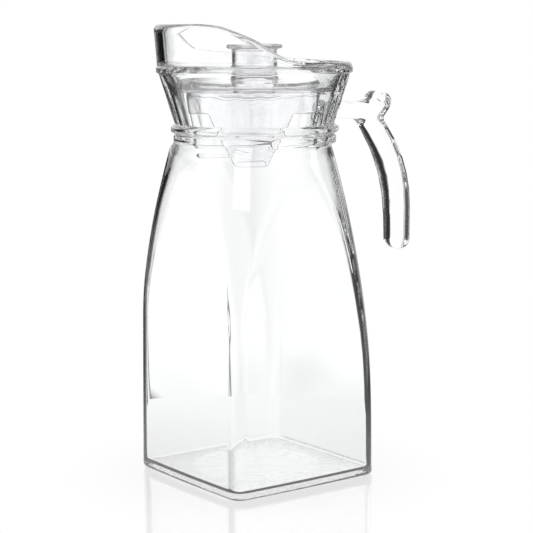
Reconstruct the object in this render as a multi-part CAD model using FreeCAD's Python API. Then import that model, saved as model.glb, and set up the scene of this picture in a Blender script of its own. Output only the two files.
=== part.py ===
"""Glass jug with a lift-off clear plastic lid, in millimetres.

The jug stands on Z = 0 with its mouth's axis on Z. The handle points along +X, the pouring lip is
on -X. The body is a rounded square that a barrel-shaped shoulder cuts, so that each flat side ends
in an arch below the neck. It stands turned about Z against the handle and the lip, and its shoulder
lies a little nearer the lip, as in the photograph.
"""
import FreeCAD, Part
import os
from math import cos, hypot, radians, sin, sqrt, tan

V = FreeCAD.Vector
AXIS = V(0, 0, 1)
ORIGIN = V(0, 0, 0)

# Body
body_side = 100.0          # across the flats at the foot
body_corner_r = 8.5        # plan radius of the four corner edges
body_crown = 0.7           # how far a flat side bulges at its middle
body_taper = 1.6           # what each side draws in by at the neck
body_turn = 10.3           # degrees about Z, against the handle
heel_r = 3.0               # round between the sides and the foot
wall = 3.2                 # glass of the sides
floor_thick = 3.6          # glass of the foot
floor_round = 3.0          # round between the floor and the sides, inside

# Shoulder
shoulder_start = 80.0      # height where it would meet centred corner edges
shoulder_top = 189.3       # height of the neck
shoulder_bulge = 2.5       # height of the barrel's arc over its chord
shoulder_shift = 2.5       # the barrel's axis lies this far towards the lip
shoulder_trim = 1.1        # its top is cut back to this far outside the neck

# Neck, outside
neck_r = 45.3              # radius where the shoulder ends
band_out = 0.5             # the plain band stands out past it
band_lift = 1.2            # round from the shoulder up to the band
band_height = 4.1
groove_slope = 0.6         # top edge of the band
bead_rise = 8.7            # middle of the round bead, over the shoulder
bead_r = 2.2               # its section radius
bead_out = 1.5             # how far it stands out past the band

# Collar, outside
collar_inset = 1.45        # the collar's foot lies this far inside the band
collar_height = 31.8       # from the bead's middle to the rim's step
collar_flare = 9.35        # growth of the radius up to that step
ledge_out = 1.5            # how far the step stands out
ledge_rise = 0.9           # slope under the step
ledge_height = 2.6         # upright face of the step
lip_inset = 0.6            # the lip's wall lies this far inside the step
lip_lift = 3.6             # height of the wall's foot over the step
lip_flare = 1.7            # outward lean of the wall at the top of the lip

# Neck and collar, inside
throat_drop = 6.0          # how far below the neck the bore starts to round off
throat_wall = 5.6          # glass at the bead, where the bore is narrowest
throat_low = 1.0           # the narrow part's ends, below and over the bead's middle
throat_high = 4.0
seat_rise = 23.2           # middle of the cone that the lid sits on, over the bead
seat_wall = 6.5            # glass there
seat_slope = 0.36          # growth of the radius with height, on that cone
seat_half = 2.4            # half height of that cone
mouth_rise = 33.5          # top of the flare over the seat, over the bead
mouth_wall = 5.7
rim_wall = 4.4             # glass of the lip

# Wavy lip. A curve's points are (distance along X over the lip's radius, share of the lip's rise)
rim_lift = 5.6             # height of the low rim over the step
lip_rise = 20.8            # height of the lip over the low rim
near_wave = [(-0.88, 1.0), (-0.733, 0.952), (-0.586, 0.793), (-0.427, 0.591), (-0.297, 0.375),
             (-0.174, 0.183), (-0.055, 0.058), (0.147, 0.01), (0.549, 0.0)]
far_wave = [(-0.824, 1.0), (-0.678, 0.938), (-0.568, 0.813), (-0.412, 0.529), (-0.275, 0.346),
            (-0.092, 0.284), (0.22, 0.212), (0.714, 0.077)]

# Flat panels round the collar, each arched at its top
panel_count = 24
panel_depth = 0.6          # how deep a flat lies under the cone at the collar's foot
panel_height = 25.5        # height of the arches' crowns over the bead

# Handle. Its corners are (distance out from the collar's foot, height over the bead)
handle_width = 15.5
handle_edge_r = 4.6
handle_root = 6.0          # how far the arm runs into the collar before it is trimmed to it
arm_top = 17.6             # heights of the arm's two faces at the collar
arm_under = 5.3
arm_dip = (15.65, 14.6)    # the arm's top sags here
rest_foot = (26.95, 13.4)  # start of the thumb rest
rest_back = (31.45, 20.5)
rest_front = (42.55, 17.6)
rest_under = (41.55, 10.6)
waist = (36.25, 3.8)       # between the thumb rest and the grip
grip_out = (55.35, -22.5)
grip_foot_out = (54.95, -73.8)
grip_foot_in = (42.35, -73.8)
grip_in = (41.15, -26.7)
crook = (22.05, 3.5)       # under the arm, where the grip starts

# Radii of those corners
arm_dip_r = 50.0
rest_foot_r = 6.0
rest_back_r = 5.3
rest_front_r = 5.5
rest_under_r = 7.0
waist_r = 2.5
grip_out_r = 80.0
grip_in_r = 100.0
crook_r = 7.0

# Lid
lid_gap = 0.3              # running gap between lid and glass
flange_thick = 2.2
plate_rise = 1.8           # the disc's top over the flange's top
plate_thick = 1.8
plate_edge = 0.6           # chamfer round the disc
skirt_gap = 2.6            # between the skirt and the narrowest bore
skirt_wall = 1.6
skirt_height = 11.4
lid_turn = 240.9           # degrees about Z to the middle of the narrow flap
narrow_drop = 29.7         # length of the narrow flap below the skirt
narrow_top_half = 36.3     # its half angles, degrees
narrow_foot_half = 13.5
wide_drop = 25.7           # length of the wide flap, on the other side
wide_top_half = 86.0
wide_foot_half = 70.0

# Knob
knob_r = 12.7
knob_wall = 1.5
knob_height = 21.1
knob_cap = 1.5             # closed top
knob_rim_out = 3.0         # how far the finger rim stands out
knob_rim_thick = 2.4
knob_foot_out = 0.7
knob_foot_height = 4.0
knob_edge = 0.8            # chamfers of the rim and the foot

# Radii and heights that follow
band_r = neck_r + band_out
band_top = shoulder_top + band_lift + band_height
bead_z = shoulder_top + bead_rise
collar_foot_r = band_r - collar_inset
collar_top_r = collar_foot_r + collar_flare
ledge_z = bead_z + collar_height
ledge_r = collar_top_r + ledge_out
lip_outer_r = ledge_r - lip_inset
lip_foot_z = ledge_z + lip_lift
rim_z = ledge_z + rim_lift
lip_top = rim_z + lip_rise
throat_r = band_r - throat_wall
seat_z = bead_z + seat_rise
mouth_z = bead_z + mouth_rise
flange_z = seat_z - flange_thick / 2
flange_top = seat_z + flange_thick / 2
plate_top = flange_top + plate_rise
skirt_r = throat_r - skirt_gap
skirt_in = skirt_r - skirt_wall
skirt_bottom = flange_z - skirt_height
lap = 0.5                  # how deep joined forms run into each other


def polar(radius, angle, z=0.0):
    """Point at an angle in degrees round Z."""
    return V(radius * cos(radians(angle)), radius * sin(radians(angle)), z)


def revolve(points):
    """Solid of revolution about Z from (radius, height) corners."""
    corners = [V(r, 0, z) for r, z in points]
    wire = Part.makePolygon(corners + corners[:1])
    return Part.Face(wire).revolve(ORIGIN, AXIS, 360)


def side_half(z):
    """Half width of the body, across the flats."""
    return body_side / 2 - body_taper * z / shoulder_top


def square_wire(half, corner, crown, z):
    """Square with crowned sides and round corners, flat at height z."""
    edges = []
    for k in range(4):
        turn = 90 * k + body_turn

        def spot(x, y):
            return V(x * cos(radians(turn)) - y * sin(radians(turn)),
                     x * sin(radians(turn)) + y * cos(radians(turn)), z)

        end = half - corner
        knee = end + corner * cos(radians(45))
        edges.append(Part.Arc(spot(half, -end), spot(half + crown, 0), spot(half, end)).toShape())
        edges.append(Part.Arc(spot(half, end), spot(knee, knee), spot(end, half)).toShape())
    return Part.Wire(edges)


def prism(inset, bottom, top, round_r):
    """The square body, drawn in by inset, with its lower edge rounded."""
    wires = [square_wire(side_half(z) - inset, body_corner_r - inset, body_crown, z)
             for z in (bottom, top)]
    solid = Part.makeLoft(wires, True, True)
    foot = [edge for edge in solid.Edges if edge.BoundBox.ZMax < bottom + 0.01]
    return solid.makeFillet(round_r, foot)


def corner_reach():
    """Distance of a corner edge from the axis."""
    half = side_half(shoulder_start)
    return (half - body_corner_r) * sqrt(2) + body_corner_r


def shoulder_radius(z):
    """Radius of the barrel: a chord with an arc over it, carried on below its start."""
    t = (z - shoulder_start) / (shoulder_top - shoulder_start)
    chord = corner_reach() + (neck_r - corner_reach()) * t
    return chord + 4 * shoulder_bulge * t * (1 - t)


def barrel(inset, top):
    """The shoulder's body of revolution, from below where it clears the corners up to top."""
    low = 0.3 * shoulder_start
    middle = (low + top) / 2
    a, b, c = [V(shoulder_radius(z) - inset, 0, z) for z in (low, middle, top)]
    rest = Part.makePolygon([c, V(0, 0, top), V(0, 0, -lap), V(a.x, 0, -lap), a])
    face = Part.Face(Part.Wire([Part.Arc(a, b, c).toShape()] + rest.Edges))
    solid = face.revolve(ORIGIN, AXIS, 360)
    solid.translate(V(-shoulder_shift, 0, 0))
    return solid


def body_form(inset, bottom, top, round_r):
    """Square prism cut by the shoulder, drawn in by inset."""
    return prism(inset, bottom, top, round_r).common(barrel(inset, top))


def neck_cone():
    """Cone of 45 degrees that trims the shoulder's step against the neck."""
    base_r = neck_r + shoulder_trim + shoulder_top + lap
    return Part.makeCone(base_r, neck_r + shoulder_trim, shoulder_top + lap, V(0, 0, -lap), AXIS)


def collar_radius(z):
    """Outer radius of the collar's cone."""
    return collar_foot_r + collar_flare * (z - bead_z) / (collar_height - ledge_rise)


def seat_radius(z):
    """Radius of the glass cone at the lid's seat."""
    return collar_radius(seat_z) - seat_wall + seat_slope * (z - seat_z)


def panels():
    """What stands outside the collar's flat panels, to be cut away."""
    crown_z = bead_z + panel_height
    upper = ledge_z - ledge_rise
    wires = []
    for z in (bead_z, upper):
        depth = panel_depth * (crown_z - z) / panel_height
        across = (collar_radius(z) - depth) / cos(radians(180.0 / panel_count))
        corners = [polar(across, 360.0 * (k + 0.5) / panel_count, z) for k in range(panel_count)]
        wires.append(Part.makePolygon(corners + corners[:1]))
    pyramid = Part.makeLoft(wires, True, True)
    sleeve = Part.makeCylinder(body_side, upper - bead_z, V(0, 0, bead_z), AXIS)
    return sleeve.cut(pyramid)


def neck_form():
    """Solid outside of the band, the bead, the panelled collar and the full height of the lip."""
    top = lip_top + lap
    profile = [(0, shoulder_top - lap),
               (neck_r - 2 * lap, shoulder_top - lap),
               (band_r, shoulder_top + band_lift),
               (band_r, band_top),
               (collar_foot_r, band_top + groove_slope),
               (collar_foot_r, bead_z),
               (collar_top_r, ledge_z - ledge_rise),
               (ledge_r, ledge_z),
               (ledge_r, ledge_z + ledge_height),
               (lip_outer_r, lip_foot_z),
               (lip_outer_r + lip_flare, top),
               (0, top)]
    bead = Part.makeTorus(band_r + bead_out - bead_r, bead_r, V(0, 0, bead_z), AXIS)
    return revolve(profile).cut(panels()).fuse(bead)


def throat_form():
    """The bore's bottom end, from the shifted shoulder to the round throat."""
    low = shoulder_top - throat_drop
    wires = []
    for x, z, radius in ((-shoulder_shift, low, shoulder_radius(low) - wall),
                         (0, bead_z - throat_low, throat_r)):
        circle = Part.Circle(V(x, 0, z), AXIS, radius)
        wires.append(Part.Wire([circle.toShape()]))
    return Part.makeLoft(wires, True, True)


def bore_form():
    """Everything empty inside the neck, the collar and the lip."""
    top = lip_top + 2 * lap
    inner = lip_outer_r - rim_wall
    return revolve([(0, bead_z - throat_low),
                    (throat_r, bead_z - throat_low),
                    (throat_r, bead_z + throat_high),
                    (seat_radius(seat_z - seat_half), seat_z - seat_half),
                    (seat_radius(seat_z + seat_half), seat_z + seat_half),
                    (lip_outer_r - mouth_wall, mouth_z),
                    (inner, rim_z - lap),
                    (inner + lip_flare, top),
                    (0, top)])


def vessel_outside():
    """The whole vessel as one solid block, before it is hollowed and its lip is cut."""
    body = body_form(0.0, 0.0, shoulder_top, heel_r).common(neck_cone())
    return body.fuse(neck_form())


def vessel_inside():
    """Everything empty inside the vessel, up past the lip."""
    low = shoulder_top - throat_drop
    return body_form(wall, floor_thick, low, floor_round).fuse([throat_form(), bore_form()])


def above_wave(wave, side):
    """What lies above one side's lip edge, to be cut away."""
    far_out = 1.3 * ledge_r
    start = V(-lip_outer_r, 0, lip_top)
    end = V(lip_outer_r, 0, rim_z)
    points = [V(x * lip_outer_r, 0, rim_z + share * lip_rise) for x, share in wave]
    curve = Part.BSplineCurve()
    curve.interpolate([start] + points + [end])
    ceiling = lip_top + far_out
    rest = Part.makePolygon([end, V(far_out, 0, rim_z), V(far_out, 0, ceiling),
                             V(-far_out, 0, ceiling), V(-far_out, 0, lip_top), start])
    face = Part.Face(Part.Wire([curve.toShape()] + rest.Edges))
    return face.extrude(V(0, side * far_out, 0))


def jug_body(outside, inside):
    """The glass vessel: foot, square body, shoulder, neck, fluted collar and wavy lip."""
    waves = [above_wave(near_wave, -1), above_wave(far_wave, 1)]
    return outside.cut(inside).cut(Part.makeCompound(waves))


def rounded_outline(corners):
    """Closed outline in the XZ plane from ((x, z), radius) corners, each round tangent to its sides."""
    places = [V(spot[0], 0, spot[1]) for spot, radius in corners]
    edges = []
    first = None
    last = None
    for k, (spot, radius) in enumerate(corners):
        start = end = here = places[k]
        if radius:
            back = (places[k - 1] - here).normalize()
            ahead = (places[(k + 1) % len(places)] - here).normalize()
            half_angle = back.getAngle(ahead) / 2
            start = here + back * (radius / tan(half_angle))
            end = here + ahead * (radius / tan(half_angle))
            middle = here + (back + ahead).normalize() * (radius / sin(half_angle) - radius)
        if last is not None:
            edges.append(Part.makeLine(last, start))
        if radius:
            edges.append(Part.Arc(start, middle, end).toShape())
        if first is None:
            first = start
        last = end
    edges.append(Part.makeLine(last, first))
    return Part.Wire(edges)


def handle_outline():
    """Side view of the handle: an arm, a thumb rest and a free-ended grip."""
    grip_end_r = 0.98 * (grip_foot_out[0] - grip_foot_in[0]) / 2
    corners = [((-handle_root, arm_top), 0),
               (arm_dip, arm_dip_r),
               (rest_foot, rest_foot_r),
               (rest_back, rest_back_r),
               (rest_front, rest_front_r),
               (rest_under, rest_under_r),
               (waist, waist_r),
               (grip_out, grip_out_r),
               (grip_foot_out, grip_end_r),
               (grip_foot_in, grip_end_r),
               (grip_in, grip_in_r),
               (crook, crook_r),
               ((-handle_root, arm_under), 0)]
    return rounded_outline([((collar_foot_r + x, bead_z + z), radius) for (x, z), radius in corners])


def handle(outside):
    """The open glass handle, trimmed to the collar that it is joined to."""
    half = handle_width / 2
    face = Part.Face(handle_outline())
    face.translate(V(0, -half, 0))
    bar = face.extrude(V(0, handle_width, 0))
    long_edges = [edge for edge in bar.Edges
                  if edge.BoundBox.YLength < 0.01 and edge.BoundBox.XMax > collar_foot_r]
    bar = bar.makeFillet(handle_edge_r, long_edges)
    return bar.cut(outside)


def lid_plate():
    """Raised disc and flange of the lid, with the hole under the hollow knob."""
    gap = lid_gap * hypot(1, seat_slope)
    plate_under = plate_top - plate_thick
    hole_r = knob_r - knob_wall
    return revolve([(hole_r, plate_under),
                    (skirt_in, plate_under),
                    (skirt_in, flange_z),
                    (seat_radius(flange_z) - gap, flange_z),
                    (seat_radius(flange_top) - gap, flange_top),
                    (skirt_in + 2 * plate_edge, flange_top),
                    (skirt_in, plate_top - plate_edge),
                    (skirt_in - plate_edge, plate_top),
                    (hole_r, plate_top)])


def flap_window(middle, drop, top_half, foot_half):
    """Wedge-sided block round the axis that keeps one flap of the skirt."""
    sections = []
    for z, half in ((skirt_bottom, top_half), (skirt_bottom - drop, foot_half)):
        angles = [middle - half, middle - half / 2, middle, middle + half / 2, middle + half]
        rim = [polar(2 * skirt_r, angle, z) for angle in angles]
        sections.append(Part.makePolygon([V(0, 0, z)] + rim + [V(0, 0, z)]))
    return Part.makeLoft(sections, True, True)


def tube(bottom, top):
    """A length of the skirt's round wall."""
    return revolve([(skirt_in, bottom), (skirt_r, bottom), (skirt_r, top), (skirt_in, top)])


def lid_skirt():
    """Short round skirt with a narrow flap and, across from it, a wide one."""
    skirt = tube(skirt_bottom, flange_z)
    for middle, drop, top_half, foot_half in (
            (lid_turn, narrow_drop, narrow_top_half, narrow_foot_half),
            (lid_turn + 180, wide_drop, wide_top_half, wide_foot_half)):
        window = flap_window(middle, drop, top_half, foot_half)
        skirt = skirt.fuse(tube(skirt_bottom - drop, skirt_bottom).common(window))
    return skirt


def lid():
    """The whole clear lid but its knob: disc, flange and skirt in one."""
    return lid_plate().fuse(lid_skirt()).removeSplitter()


def lid_knob():
    """Hollow knob with a finger rim, closed on top and open below."""
    inner = knob_r - knob_wall
    foot_r = knob_r + knob_foot_out
    foot_top = plate_top + knob_foot_height
    rim_r = knob_r + knob_rim_out
    top = plate_top + knob_height
    rim_low = top - knob_rim_thick
    return revolve([(inner, plate_top),
                    (foot_r, plate_top),
                    (foot_r, foot_top),
                    (knob_r, foot_top + knob_edge),
                    (knob_r, rim_low - knob_edge),
                    (knob_r + knob_edge, rim_low),
                    (rim_r - knob_edge, rim_low),
                    (rim_r, rim_low + knob_edge),
                    (rim_r, top - knob_edge),
                    (rim_r - knob_edge, top),
                    (0, top),
                    (0, top - knob_cap),
                    (inner, top - knob_cap)])


def main():
    os.makedirs("parts", exist_ok=True)
    outside = vessel_outside()
    inside = vessel_inside()
    nodes = {"jug_body": jug_body(outside, inside), "handle": handle(outside),
             "lid": lid(), "lid_knob": lid_knob()}
    for name, shape in nodes.items():
        solids = shape.Solids
        shape = solids[0] if len(solids) == 1 else shape
        shape.exportStep("parts/" + name + ".step")
        box = shape.BoundBox
        print(name, "solids", len(solids), "valid", shape.isValid(), "cm3", round(shape.Volume / 1000, 1),
              "box", [round(v, 1) for v in (box.XMin, box.XMax, box.YMin, box.YMax, box.ZMin, box.ZMax)])
    brim = Part.makeBox(4 * body_side, 4 * body_side, rim_z, V(-2 * body_side, -2 * body_side, 0))
    print("capacity to the low rim, ml", round(inside.common(brim).Volume / 1000))


main()
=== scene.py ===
"""Clear glass fridge jug with a lift-off clear plastic lid, standing on a glossy white table.

Metres. +Z is up, the handle points along +X and the pouring lip along -X.
"""
import bmesh
import bpy
from math import atan2, cos, hypot, pi, radians, sin, sqrt, tan
from mathutils import Matrix, Vector


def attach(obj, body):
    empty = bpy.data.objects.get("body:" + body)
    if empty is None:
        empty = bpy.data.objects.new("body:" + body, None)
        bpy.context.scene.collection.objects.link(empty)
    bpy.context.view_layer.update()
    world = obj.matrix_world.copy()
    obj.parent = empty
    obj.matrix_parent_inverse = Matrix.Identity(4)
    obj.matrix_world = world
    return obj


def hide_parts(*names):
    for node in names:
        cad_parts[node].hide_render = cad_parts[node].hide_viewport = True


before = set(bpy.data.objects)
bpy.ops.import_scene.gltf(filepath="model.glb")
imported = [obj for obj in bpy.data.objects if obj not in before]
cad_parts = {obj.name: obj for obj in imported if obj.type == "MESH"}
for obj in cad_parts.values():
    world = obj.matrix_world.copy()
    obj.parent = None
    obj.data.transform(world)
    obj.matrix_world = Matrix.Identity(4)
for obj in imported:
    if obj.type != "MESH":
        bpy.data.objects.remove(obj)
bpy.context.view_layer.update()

# Glass body: pressed soda-lime glass in one piece, from the thick square foot over the arched
# shoulder to the neck. Each flat side ends in an arch where the round shoulder cuts it.
MM = 0.001
COLUMNS = 240
TURN = radians(10.3)
CORNER_COLUMNS = 16
FOOT_HALF = 50.0
FOOT_CORNER = 8.5
FOOT_CROWN = 0.7
TAPER = 1.6
HEEL = 3.0
WALL = 3.2
FLOOR = 3.6
FLOOR_ROUND = 3.0
SHOULDER_START = 80.0
SHOULDER_TOP = 189.3
SHOULDER_BULGE = 2.5
SHOULDER_SHIFT = 2.5
SHOULDER_TRIM = 1.1
NECK_R = 45.3
ARCH_SOFT = 1.6


def smooth(t):
    """Eased step from 0 to 1."""
    t = min(max(t, 0.0), 1.0)
    return t * t * (3 - 2 * t)


def mix(a, b, t):
    return a + (b - a) * t


def soft_min(a, b, width):
    """The smaller of two radii, rounded where they meet."""
    near = max(width - abs(a - b), 0.0) / width
    return min(a, b) - near * near * width / 4


def side_half(z):
    return FOOT_HALF - TAPER * z / SHOULDER_TOP


def square_radius(angle, half, corner, crown):
    """Distance from the axis to a rounded square's outline, in a direction."""
    folded = abs((angle - TURN + pi / 4) % (pi / 2) - pi / 4)
    end = half - corner
    across = half * tan(folded)
    if across <= end:
        return (half + crown * (1 - (across / end) ** 2)) / cos(folded)
    both = cos(folded) + sin(folded)
    return end * both + sqrt(max(corner * corner - end * end * (2 - both * both), 0.0))


def circle_radius(angle, radius, shift):
    """Distance from the axis to a circle that is shifted towards the lip."""
    along = -shift * cos(angle)
    return along + sqrt(radius * radius - shift * shift + along * along)


def shoulder_radius(z):
    reach = (side_half(SHOULDER_START) - FOOT_CORNER) * sqrt(2) + FOOT_CORNER
    t = (z - SHOULDER_START) / (SHOULDER_TOP - SHOULDER_START)
    return reach + (NECK_R - reach) * t + 4 * SHOULDER_BULGE * t * (1 - t)


def body_radius(angle, z, inset):
    """Radius of the body at a height, drawn in by inset."""
    flat = square_radius(angle, side_half(z) - inset, FOOT_CORNER - inset, FOOT_CROWN)
    radius = soft_min(flat, circle_radius(angle, shoulder_radius(z) - inset, SHOULDER_SHIFT), ARCH_SOFT)
    return soft_min(radius, NECK_R + SHOULDER_TRIM + SHOULDER_TOP - z, 0.8)


def square_angles():
    """Directions of the columns on the body: close together round the corner edges."""
    flat_columns = COLUMNS // 4 - CORNER_COLUMNS
    end = FOOT_HALF - FOOT_CORNER
    points = []
    for k in range(flat_columns):
        points.append((FOOT_HALF, end * (2 * k / flat_columns - 1)))
    for k in range(CORNER_COLUMNS):
        a = pi / 2 * k / CORNER_COLUMNS
        points.append((end + FOOT_CORNER * cos(a), end + FOOT_CORNER * sin(a)))
    quarter = [Vector(p).angle_signed(Vector((1, 0))) for p in points]
    return [TURN + a + quadrant * pi / 2 for quadrant in range(4) for a in quarter]


body_angles = square_angles()
even_angles = []
for i in range(COLUMNS):
    even_angles.append(2 * pi * i / COLUMNS - radians(34.5))


def column_angle(i, z):
    """Direction of a column: bunched at the body's corners, even round the neck."""
    return mix(body_angles[i], even_angles[i], smooth((z - 160) / 28))


# Neck, collar and lip: outside and inside profiles as ((radius, height), round).
BAND_R = 45.8
BEAD_Z = 198.0
COLLAR_FOOT_R = 44.35
COLLAR_TOP = (53.7, 228.9)
LIP_R = 54.6
LIP_FOOT_Z = 233.4
RIM_Z = 235.4
LIP_TOP = 256.2
LIP_FLARE = 1.7
RIM_WALL = 4.4
THROAT_R = 40.2
THROAT_FOOT = 197.0
PANEL_DEPTH = 0.6
PANEL_TOP = 223.5
NEAR_WAVE = [(-1.0, 1.0), (-0.88, 1.0), (-0.733, 0.952), (-0.586, 0.793), (-0.427, 0.591),
             (-0.297, 0.375), (-0.174, 0.183), (-0.055, 0.058), (0.147, 0.01), (0.549, 0.0),
             (1.0, 0.0)]
FAR_WAVE = [(-1.0, 1.0), (-0.824, 1.0), (-0.678, 0.938), (-0.568, 0.813), (-0.412, 0.529),
            (-0.275, 0.346), (-0.092, 0.284), (0.22, 0.212), (0.714, 0.077), (1.0, 0.0)]


def curve_at(points, x):
    """Height of a smooth curve through points, without overshoot."""
    slopes = [(b[1] - a[1]) / (b[0] - a[0]) for a, b in zip(points, points[1:])]
    tangents = [slopes[0]]
    for a, b in zip(slopes, slopes[1:]):
        tangents.append(2 * a * b / (a + b) if a * b > 0 else 0.0)
    tangents.append(slopes[-1])
    x = min(max(x, points[0][0]), points[-1][0])
    for k in range(len(points) - 1):
        if x <= points[k + 1][0]:
            break
    (x0, y0), (x1, y1) = points[k], points[k + 1]
    width = x1 - x0
    t = (x - x0) / width
    return ((2 * t ** 3 - 3 * t * t + 1) * y0 + (t ** 3 - 2 * t * t + t) * width * tangents[k]
            + (3 * t * t - 2 * t ** 3) * y1 + (t ** 3 - t * t) * width * tangents[k + 1])


def lip_height(angle):
    """Height of the lip's edge in a direction."""
    wave = NEAR_WAVE if sin(angle) < 0 else FAR_WAVE
    return RIM_Z + (LIP_TOP - RIM_Z) * curve_at(wave, cos(angle))


def rounded(corners, step=18):
    """Open line through (point, round) corners, each round cut into steps of so many degrees."""
    line = []
    for k, (spot, radius) in enumerate(corners):
        here = Vector(spot)
        if not radius:
            line.append(here)
            continue
        back = (Vector(corners[k - 1][0]) - here).normalized()
        ahead = (Vector(corners[(k + 1) % len(corners)][0]) - here).normalized()
        half = back.angle(ahead) / 2
        centre = here + (back + ahead).normalized() * (radius / sin(half))
        start = here + back * (radius / tan(half)) - centre
        sweep = start.angle_signed(here + ahead * (radius / tan(half)) - centre)
        count = max(2, round(abs(sweep) / radians(step)))
        for j in range(count + 1):
            line.append(centre + Matrix.Rotation(-sweep * j / count, 2) @ start)
    return line


def spread(line, most):
    """The same line with no span longer than most."""
    out = [line[0]]
    for a, b in zip(line, line[1:]):
        count = max(1, int((b - a).length / most + 0.5))
        out += [a.lerp(b, (j + 1) / count) for j in range(count)]
    return out


outer_neck = spread(rounded([
    ((BAND_R, 190.7), 0),
    ((BAND_R, 194.7), 0.7),
    ((44.5, 195.3), 0.25),
    ((45.4, 195.95), 0.3),
    ((47.3, 196.6), 1.2),
    ((47.3, 199.4), 1.2),
    ((45.05, 200.6), 0.5),
    (COLLAR_TOP, 0.3),
    ((55.2, 229.8), 0.5),
    ((55.2, 232.4), 0.6),
    ((LIP_R, LIP_FOOT_Z), 0.6),
    ((LIP_R + 0.1, LIP_FOOT_Z + 1), 0)]), 1.1)
inner_neck = spread(rounded([
    ((THROAT_R, THROAT_FOOT), 0),
    ((THROAT_R, 202.0), 2.5),
    ((44.04, 218.8), 3.0),
    ((45.76, 223.6), 3.0),
    ((48.9, 231.5), 3.0),
    ((49.9, 233.6), 0)]), 1.6)


def lip_outer(z):
    return LIP_R + LIP_FLARE * (z - LIP_FOOT_Z) / (LIP_TOP - LIP_FOOT_Z)


def collar_radius(angle, radius, z):
    """The collar's cone with its flat panels."""
    if not 200.7 < z < PANEL_TOP:
        return radius
    folded = abs((angle + radians(7.5)) % radians(15) - radians(7.5))
    depth = PANEL_DEPTH * (PANEL_TOP - z) / (PANEL_TOP - BEAD_Z)
    return soft_min(radius, (radius - depth) / cos(folded), 0.12)


def spot(radius, angle, z):
    return Vector((radius * cos(angle), radius * sin(angle), z)) * MM


def heel_ring(i, inset, round_r, t, height):
    """Point on the round between a floor and the sides, t from 0 below to 1 at the side."""
    drawn = round_r * (1 - sin(t * pi / 2))
    z = height + round_r * (1 - cos(t * pi / 2))
    angle = column_angle(i, z)
    half = side_half(z) - inset - drawn
    corner = FOOT_CORNER - inset - drawn
    return square_radius(angle, half, max(corner, 0.4), FOOT_CROWN), angle, z


def vessel_rings():
    """Rings from the middle of the underside, round the lip, to the middle of the floor."""
    rings = []
    for share in (0.0, 0.06, 0.2, 0.4, 0.6, 0.8, 0.93):
        rings.append(lambda i, s=share: (s * heel_ring(i, 0, HEEL, 0, 0)[0], column_angle(i, 0), 0.0))
    for k in range(9):
        rings.append(lambda i, t=k / 8: heel_ring(i, 0, HEEL, t, 0.0))
    heights = [HEEL + (70 - HEEL) * k / 20 for k in range(1, 20)]
    heights += [70 + (SHOULDER_TOP - 70) * k / 86 for k in range(87)]
    for z in heights:
        rings.append(lambda i, z=z: (body_radius(column_angle(i, z), z, 0.0), column_angle(i, z), z))
    for k in range(1, 4):
        z = SHOULDER_TOP + 0.35 * k
        rings.append(lambda i, z=z: (mix(body_radius(column_angle(i, SHOULDER_TOP), SHOULDER_TOP, 0),
                                         BAND_R, smooth((z - SHOULDER_TOP) / 1.4)),
                                     column_angle(i, z), z))
    for r, z in outer_neck:
        rings.append(lambda i, r=r, z=z: (collar_radius(even_angles[i], r, z), even_angles[i], z))
    round_r = RIM_WALL / 2
    for k in range(1, 8):
        def wall_ring(i, t=k / 7):
            z = mix(LIP_FOOT_Z + 1, lip_height(even_angles[i]) - round_r, t)
            return lip_outer(z), even_angles[i], z
        rings.append(wall_ring)
    for k in range(1, 8):
        def edge_ring(i, a=pi * k / 8):
            top = lip_height(even_angles[i]) - round_r
            return (lip_outer(top) - round_r + round_r * cos(a), even_angles[i],
                    top + round_r * sin(a))
        rings.append(edge_ring)
    for k in range(8):
        def inside_ring(i, t=k / 7):
            z = mix(lip_height(even_angles[i]) - round_r, 233.6, t)
            return lip_outer(z) - RIM_WALL, even_angles[i], z
        rings.append(inside_ring)
    for r, z in reversed(inner_neck[:-1]):
        rings.append(lambda i, r=r, z=z: (r, even_angles[i], z))
    low = SHOULDER_TOP - 6
    for k in range(1, 8):
        z = mix(THROAT_FOOT, low, k / 8)
        t = k / 8

        def throat_ring(i, z=z, t=t):
            angle = column_angle(i, z)
            radius = mix(THROAT_R, shoulder_radius(low) - WALL, t)
            return circle_radius(angle, radius, SHOULDER_SHIFT * t), angle, z
        rings.append(throat_ring)
    heights = [low - (low - 70) * k / 60 for k in range(61)]
    heights += [70 - (70 - FLOOR - FLOOR_ROUND) * k / 16 for k in range(1, 16)]
    for z in heights:
        rings.append(lambda i, z=z: (body_radius(column_angle(i, z), z, WALL), column_angle(i, z), z))
    for k in range(8, -1, -1):
        rings.append(lambda i, t=k / 8: heel_ring(i, WALL, FLOOR_ROUND, t, FLOOR))
    for share in (0.93, 0.8, 0.6, 0.4, 0.2, 0.06, 0.0):
        rings.append(lambda i, s=share: (s * heel_ring(i, WALL, FLOOR_ROUND, 0, FLOOR)[0],
                                         column_angle(i, FLOOR), FLOOR))
    return rings


def wrap(name, columns, rows, place):
    """Closed tube of a grid: place(column, row) gives each point. Equal points are merged."""
    shell = bmesh.new()
    bmesh.ops.create_grid(shell, x_segments=columns, y_segments=rows - 1, size=0.5)
    for vert in shell.verts:
        column = round((vert.co.x + 0.5) * columns) % columns
        row = round((vert.co.y + 0.5) * (rows - 1))
        vert.co = place(column, row)
    bmesh.ops.remove_doubles(shell, verts=shell.verts, dist=0.000004)
    bmesh.ops.recalc_face_normals(shell, faces=shell.faces)
    return shell


def finish_mesh(shell, name):
    """Object from a bmesh, smooth all over."""
    mesh = bpy.data.meshes.new(name)
    for face in shell.faces:
        face.smooth = True
    shell.to_mesh(mesh)
    shell.free()
    piece = bpy.data.objects.new(name, mesh)
    bpy.context.scene.collection.objects.link(piece)
    return piece


rings = vessel_rings()
vessel_shell = wrap("vessel", COLUMNS, len(rings), lambda i, j: spot(*rings[j](i)))
jug_glass = finish_mesh(vessel_shell, "jug_glass")


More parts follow.
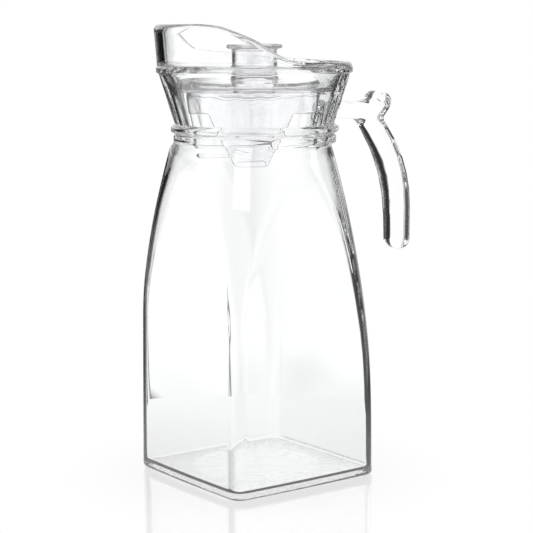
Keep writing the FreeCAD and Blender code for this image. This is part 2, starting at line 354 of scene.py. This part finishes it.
class Socket:
    """A shader value that takes part in Python sums."""

    def __init__(self, tree, link):
        self.tree = tree
        self.link = link

    def node(self, kind, settings=(), **inputs):
        """Output sockets of a new node."""
        made = self.tree.nodes.new(kind)
        for name, value in dict(settings).items():
            setattr(made, name, value)
        for name, value in inputs.items():
            target = made.inputs[int(name[1:])] if name[1:].isdigit() else made.inputs[name.replace("_", " ")]
            if isinstance(value, Socket):
                self.tree.links.new(value.link, target)
            else:
                target.default_value = value
        return made

    def math(self, operation, a, b=0.0, c=0.0):
        made = self.node("ShaderNodeMath", {"operation": operation}, i0=a, i1=b, i2=c)
        return Socket(self.tree, made.outputs[0])

    def __add__(self, other):
        return self.math("ADD", self, other)

    def __sub__(self, other):
        return self.math("SUBTRACT", self, other)

    def __rsub__(self, other):
        return self.math("SUBTRACT", other, self)

    def __mul__(self, other):
        return self.math("MULTIPLY", self, other)

    def __gt__(self, other):
        return self.math("GREATER_THAN", self, other)

    __radd__ = __add__
    __rmul__ = __mul__


def material(name, **values):
    """Principled material with plain values set on its sockets."""
    made = bpy.data.materials.new(name)
    made.use_nodes = True
    tree = made.node_tree
    shader = tree.nodes["Principled BSDF"]
    for key, value in values.items():
        shader.inputs[key.replace("_", " ")].default_value = value
    return made, tree, shader, Socket(tree, None)


def choose(switch, off, on):
    return off * (1 - switch) + on * switch


# The glass is pressed: its walls are a little uneven, the foot's round is knurled, the underside ringed.
glass, tree, shader, sums = material(
    "soda_lime_glass", Base_Color=(0.985, 0.995, 0.99, 1), Roughness=0.0, IOR=1.52,
    Transmission_Weight=1.0)
coords = Socket(tree, tree.nodes.new("ShaderNodeTexCoord").outputs["Object"])
waves = Socket(tree, sums.node("ShaderNodeTexNoise", {}, Vector=coords, Scale=28.0, Detail=1.0).outputs[0])
grain = Socket(tree, sums.node("ShaderNodeTexNoise", {}, Vector=coords, Scale=900.0, Detail=2.0).outputs[0])
place = sums.node("ShaderNodeSeparateXYZ", {}, i0=coords)
x, y, z = (Socket(tree, output) for output in place.outputs)
from_middle = sums.math("SQRT", x * x + y * y)
ripples = sums.math("SINE", (from_middle + waves * 0.012) * 1100)
low = 1 - (z > (FLOOR + 1) * MM)
outer = from_middle > 0.036
relief = waves * 0.036 + low * (choose(outer, 0.018, 0.006) * ripples + grain * choose(outer, 0.05, 0.22))
bump = sums.node("ShaderNodeBump", {}, Strength=1.0, Distance=0.001, Height=relief)
tree.links.new(bump.outputs[0], shader.inputs["Normal"])
jug_glass.data.materials.append(glass)

# Handle: glass arm, thumb rest and free-ended grip in one piece, fused to the collar while hot.
HANDLE_HALF = 7.75
HANDLE_EDGE = 4.6
ROOT = 44.4 - COLLAR_FOOT_R
handle_line = rounded([
    ((ROOT, 17.2), 0),
    ((15.65, 14.6), 50.0),
    ((26.95, 13.4), 6.0),
    ((31.45, 20.5), 5.3),
    ((42.55, 17.6), 5.5),
    ((41.55, 10.6), 7.0),
    ((36.25, 3.8), 2.5),
    ((55.35, -22.5), 80.0),
    ((54.95, -73.8), 6.17),
    ((42.35, -73.8), 6.17),
    ((41.15, -26.7), 100.0),
    ((22.05, 3.5), 7.0),
    ((ROOT, 4.8), 0)], step=7)
handle_line = spread([Vector((p[0] + COLLAR_FOOT_R, p[1] + BEAD_Z)) for p in handle_line + handle_line[:1]],
                     3.0)[:-1]


def line_normals(line):
    """Outward normal at each point of a closed line that runs clockwise."""
    out = []
    for k in range(len(line)):
        along = (line[(k + 1) % len(line)] - line[k - 1]).normalized()
        out.append(Vector((-along.y, along.x)))
    return out


handle_out = line_normals(handle_line)
EDGE_STEPS = 7
handle_rings = [(-HANDLE_HALF + HANDLE_EDGE * (1 - cos(pi / 2 * k / EDGE_STEPS)),
                 HANDLE_EDGE * (1 - sin(pi / 2 * k / EDGE_STEPS))) for k in range(EDGE_STEPS + 1)]
handle_rings += [(-y, inset) for y, inset in reversed(handle_rings)]


def handle_spot(i, j):
    y, inset = handle_rings[j]
    p = handle_line[i]
    if p.x > 45.0:
        p = p - handle_out[i] * inset
    else:
        z = min(max(p.y, BEAD_Z + 4.8 + inset), BEAD_Z + 17.2 - inset)
        p = Vector((p.x, z))
    return Vector((p.x, y, p.y)) * MM


handle_shell = wrap("handle", len(handle_line), len(handle_rings), handle_spot)
ends = [edge for edge in handle_shell.edges if edge.is_boundary]
bmesh.ops.holes_fill(handle_shell, edges=ends, sides=0)
bmesh.ops.recalc_face_normals(handle_shell, faces=handle_shell.faces)
handle_glass = finish_mesh(handle_shell, "handle_glass")
handle_glass.data.materials.append(glass)
join = jug_glass.modifiers.new("join", "BOOLEAN")
join.operation = "UNION"
join.solver = "EXACT"
join.object = handle_glass
bpy.context.view_layer.update()
joined = bpy.data.meshes.new_from_object(jug_glass.evaluated_get(bpy.context.evaluated_depsgraph_get()))
jug_glass.modifiers.clear()
jug_glass.data = joined
bpy.data.objects.remove(handle_glass)
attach(jug_glass, "jug")
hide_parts("jug_body", "handle")

# Lid: clear moulded plastic in one piece. A raised disc with a flange, a short round skirt, and two
# flaps that close the lip or strain ice; the hollow knob with its finger rim stands on the disc.
LID_TURN = radians(240.9)
SKIRT_R = 37.6
SKIRT_IN = 36.0
PLATE_TOP = 224.1
PLATE_UNDER = 222.3
FLANGE_Z = 220.1
SKIRT_FOOT = 208.7
lid_profile = spread(rounded([
    ((0.0, 245.2), 0),
    ((15.7, 245.2), 1.15),
    ((15.7, 242.8), 1.15),
    ((12.7, 242.6), 0.8),
    ((12.7, 228.6), 0.4),
    ((13.4, 228.1), 0.3),
    ((13.4, PLATE_TOP), 0.3),
    ((35.6, PLATE_TOP), 0.4),
    ((37.0, 222.3), 0.5),
    ((45.0, 222.3), 0.3),
    ((44.2, FLANGE_Z), 0.3),
    ((SKIRT_R, FLANGE_Z), 0.5),
    ((SKIRT_R, SKIRT_FOOT), 0.5),
    ((SKIRT_IN, SKIRT_FOOT), 0.5),
    ((SKIRT_IN, PLATE_UNDER), 0.5),
    ((11.2, PLATE_UNDER), 0.5),
    ((11.2, 243.7), 0.8),
    ((0.0, 243.7), 0)], step=25), 2.5)
LID_COLUMNS = 240


def flap_foot(angle):
    """Height of the skirt's lower edge in a direction."""
    away = abs((angle - LID_TURN + pi) % (2 * pi) - pi) * 180 / pi
    narrow = mix(179.0, SKIRT_FOOT, min(max((away - 13.5) / 22.8, 0), 1))
    wide = mix(183.0, SKIRT_FOOT, min(max((180 - away - 70) / 16.0, 0), 1))
    return min(narrow, wide)


lid_angles = [2 * pi * i / LID_COLUMNS for i in range(LID_COLUMNS)]
foot_heights = []
for angle in lid_angles:
    foot_heights.append(sum(flap_foot(angle + radians(d)) for d in (-1.5, -0.75, 0, 0.75, 1.5)) / 5)


def lid_spot(i, j):
    r, z = lid_profile[j]
    if z < FLANGE_Z - 0.5 and r > 30:
        foot = foot_heights[i]
        z = mix(foot, FLANGE_Z, (z - SKIRT_FOOT) / (FLANGE_Z - SKIRT_FOOT)) if z > SKIRT_FOOT + 0.6 \
            else foot + (z - SKIRT_FOOT)
    return spot(r, lid_angles[i], z)


lid_shell = wrap("lid", LID_COLUMNS, len(lid_profile), lid_spot)
# Painted shade: the faces at the skirt's foot and round the flange's outer rim get a dark grey plastic. It
# stands in for the dark lines that these thin clear edges show by bending light.
for face in lid_shell.faces:
    middle = face.calc_center_median() / MM
    column = round(atan2(middle.y, middle.x) / (2 * pi) * LID_COLUMNS) % LID_COLUMNS
    out = hypot(middle.x, middle.y)
    at_foot = out > SKIRT_IN - 1 and middle.z < foot_heights[column] + 0.3
    face.material_index = int(at_foot or out > 44.7)
clear_lid = finish_mesh(lid_shell, "clear_lid")
plastic, tree, shader, sums = material(
    "clear_plastic", Base_Color=(0.985, 0.98, 0.995, 1), Roughness=0.0, IOR=1.57,
    Transmission_Weight=1.0)
clear_lid.data.materials.append(plastic)
# Dark grey clear plastic for those faces: painted edge shade, not a tint of the lid.
clear_lid.data.materials.append(material(
    "plastic_edge_painted_shade", Base_Color=(0.3, 0.28, 0.34, 1), Roughness=0.1, IOR=1.57, Transmission_Weight=1.0)[0])
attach(clear_lid, "lid")
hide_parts("lid", "lid_knob")

# Table: a glossy white board, and the room round it as the glass shows it. The room is white. Its light and the
# board's glow are painted by ray path: only rays that came through the glass or were reflected see dark bands
# beside the camera's line of sight and low round the table, as for a bright-field shot. These bands paint the
# glass's dark edges, streaks and glints.
scene = bpy.context.scene
# Painted light and shade, as (degrees, brightness) stops by plan direction. SIGHT is for rays that came straight
# through the glass. The second table (the room low down) and TABLE_FIELD (the board) are for rays that came
# through and were also reflected. GLINT and SKY_GLINT are for rays only reflected, below and above the horizon.
# Their dark stops paint the glass's dark edges and streaks, and their bright stops paint glints.
SIGHT = ((0, 1.0), (58, 1.0), (64, 0.03), (126, 0.03), (129, 1.0), (140, 1.04), (147, 0.97), (151, 1.05),
         (156, 0.96), (161, 1.05), (167, 0.98), (174, 1.0), (175, 0.03), (177.5, 0.03), (178.5, 1.0), (184, 1.0),
         (185, 0.03), (204, 0.03), (208, 1.0), (360, 1.0))
BENT_RAY_PAINTED_SHADE = ((0, 1.2), (14, 1.0), (28, 0.3), (34, 0.0), (76, 0.1), (88, 1.0), (102, 1.0), (109, 0.05),
            (132, 0.2), (139, 1.1), (158, 1.1), (163, 0.03), (190, 0.0), (226, 0.05), (238, 1.1), (288, 1.1),
            (300, 0.2), (310, 0.05), (338, 0.05), (350, 1.2), (360, 1.2))
TABLE_FIELD = ((0, 0.1), (22, 0.3), (30, 1.2), (56, 1.2), (63, 0.3), (75, 0.05), (168, 0.05), (216, 0.05),
               (221, 1.2), (286, 1.2), (300, 0.4), (312, 0.05), (360, 0.1))
GLINT = ((0, 1.2), (50, 1.1), (62, 0.1), (120, 0.1), (134, 0.6), (152, 0.6), (160, 0.03), (216, 0.03),
         (220, 1.2), (360, 1.2))
SKY_GLINT = ((0, 1.2), (50, 1.1), (62, 0.1), (120, 0.1), (134, 1.0), (360, 1.0))


def by_azimuth(sums, point, stops):
    """Brightness in a plan direction, between (degrees, brightness) stops."""
    parts = sums.node("ShaderNodeSeparateXYZ", {}, i0=point)
    turn = sums.math("ARCTAN2", Socket(sums.tree, parts.outputs[0]), Socket(sums.tree, parts.outputs[1]) * -1.0)
    share = sums.math("FRACT", turn * (0.5 / pi) + 1.0)
    ramp = sums.node("ShaderNodeValToRGB", {}, i0=share)
    marks = ramp.color_ramp.elements
    for k, (azimuth, value) in enumerate(stops):
        mark = marks[k] if k < 2 else marks.new(azimuth / 360)
        mark.position = azimuth / 360
        mark.color = (value, value, value, 1)
    return Socket(sums.tree, ramp.outputs[0])


def path_depths(sums):
    """The light path node, and 1 where a wall turned the ray, 1 where it came through the glass."""
    path = sums.tree.nodes.new("ShaderNodeLightPath")
    turned = Socket(sums.tree, path.outputs["Glossy Depth"]) > 0.5
    through = Socket(sums.tree, path.outputs["Transmission Depth"]) > 0.5
    return path, turned, through


board = bmesh.new()
bmesh.ops.create_circle(board, cap_ends=True, segments=64, radius=2.5)
table = finish_mesh(board, "table_top")
table_finish = bpy.data.materials.new("white_gloss_board")
table_finish.use_nodes = True
tree = table_finish.node_tree
tree.nodes.remove(tree.nodes["Principled BSDF"])
sums = Socket(tree, None)
point = Socket(tree, tree.nodes.new("ShaderNodeTexCoord").outputs["Object"])
path, turned, through = path_depths(sums)
away = Socket(tree, sums.node("ShaderNodeVectorMath", {"operation": "LENGTH"}, i0=point).outputs["Value"])
outward = sums.node("ShaderNodeMapRange", {"interpolation_type": "SMOOTHSTEP"}, Value=away, From_Min=0.05,
                    From_Max=0.3)
outward = Socket(tree, outward.outputs[0])
# Painted light and shade on the board by ray path. Rays that came through the glass and were also reflected see
# 0.12 near the foot, blending into TABLE_FIELD's dark and bright bands further out. Rays straight through the
# glass see 1.03, with SIGHT's dark bands beyond 0.2 m. Rays only reflected see GLINT's painted glints, 0.6 near
# the foot.
bent = choose(outward, 0.12, by_azimuth(sums, point, TABLE_FIELD))
straight = choose(away > 0.2, 1.03, by_azimuth(sums, point, SIGHT) * 1.03)
glint = choose(outward, 0.6, by_azimuth(sums, point, GLINT))
# Painted contact shadow: to the camera the board glows at 1.0, dimming to 0.93 within 45 to 120 mm of the
# middle, under and round the foot.
shade = sums.node("ShaderNodeMapRange", {"interpolation_type": "SMOOTHSTEP"}, Value=away, From_Min=0.045,
                  From_Max=0.12, To_Min=0.93, To_Max=1.0)
seen = choose(through, choose(turned, Socket(tree, shade.outputs[0]), glint), choose(turned, straight, bent))
# The board glows by emission at these painted levels; it is not lit by the lamps.
plain = sums.node("ShaderNodeEmission", {}, Strength=seen)
mirror = sums.node("ShaderNodeBsdfAnisotropic", {}, Color=(1, 1, 1, 1), Roughness=0.04)
gloss = sums.node("ShaderNodeFresnel", {}, IOR=1.42)
fade = sums.node("ShaderNodeMapRange", {"interpolation_type": "SMOOTHSTEP"}, Value=away, From_Min=0.15,
                 From_Max=0.6, To_Min=1.0, To_Max=0.0)
direct = Socket(tree, gloss.outputs[0]) * Socket(tree, fade.outputs[0])
choice = sums.node("ShaderNodeMixShader", {}, i0=direct * Socket(tree, path.outputs["Is Camera Ray"]),
                   i1=Socket(tree, plain.outputs[0]), i2=Socket(tree, mirror.outputs[0]))
tree.links.new(choice.outputs[0], tree.nodes["Material Output"].inputs[0])
table.data.materials.append(table_finish)

world = bpy.data.worlds.new("studio")
world.use_nodes = True
scene.world = world
tree = world.node_tree
sums = Socket(tree, None)
direction = Socket(tree, tree.nodes.new("ShaderNodeTexCoord").outputs["Generated"])
path, turned, through = path_depths(sums)
height = Socket(tree, sums.node("ShaderNodeSeparateXYZ", {}, i0=direction).outputs[2])
raised = sums.node("ShaderNodeMapRange", {"interpolation_type": "SMOOTHSTEP"}, Value=height,
                   From_Min=sin(radians(24)), From_Max=sin(radians(42)))
# Painted room light by ray path: white (1.0) to camera rays. Rays only reflected see GLINT or SKY_GLINT, and
# rays straight through the glass see SIGHT times 1.08. Rays through the glass and also reflected see the
# low-round-the-table stops, blending to 1.1 from 24 to 42 degrees up.
bent = choose(Socket(tree, raised.outputs[0]), by_azimuth(sums, direction, BENT_RAY_PAINTED_SHADE), 1.1)
straight = by_azimuth(sums, direction, SIGHT) * 1.08
glint = choose(height > 0.02, by_azimuth(sums, direction, GLINT), by_azimuth(sums, direction, SKY_GLINT))
strength = choose(through, choose(turned, 1.0, glint), choose(turned, straight, bent))
backdrop = tree.nodes["Background"]
backdrop.inputs[0].default_value = (1, 1, 1, 1)
tree.links.new(strength.link, backdrop.inputs[1])


def soft_lamp(name, place, target, size, power):
    lamp = bpy.data.lights.new(name, "AREA")
    lamp.shape = "RECTANGLE"
    lamp.size, lamp.size_y = size
    lamp.energy = power
    holder = bpy.data.objects.new(name, lamp)
    holder.location = place
    holder.rotation_euler = (Vector(target) - Vector(place)).to_track_quat("-Z", "Y").to_euler()
    scene.collection.objects.link(holder)
    return holder


soft_lamp("key_softbox", (-0.7, -0.9, 0.9), (0, 0, 0.12), (0.5, 0.7), 2.0)
soft_lamp("side_softbox", (1.0, -0.3, 0.5), (0, 0, 0.12), (0.25, 0.8), 1.0)

# Camera: a little above the lid, looking slightly down on the front corner of the body.
camera_data = bpy.data.cameras.new("camera")
camera_data.lens = 109.35
camera_data.sensor_width = 36
camera_data.clip_start = 0.01
camera = bpy.data.objects.new("camera", camera_data)
turn = Matrix.Rotation(radians(-26), 4, "Z")
place = turn @ Matrix.Translation((0.00619, -0.91496, 0.25283))
camera.matrix_world = place @ Matrix.Rotation(radians(90) - 0.145, 4, "X") @ Matrix.Rotation(-0.0047, 4, "Z")
scene.collection.objects.link(camera)
scene.camera = camera
scene.view_settings.view_transform = "Standard"
scene.cycles.max_bounces = 64
scene.cycles.transmission_bounces = 48
scene.cycles.glossy_bounces = 48
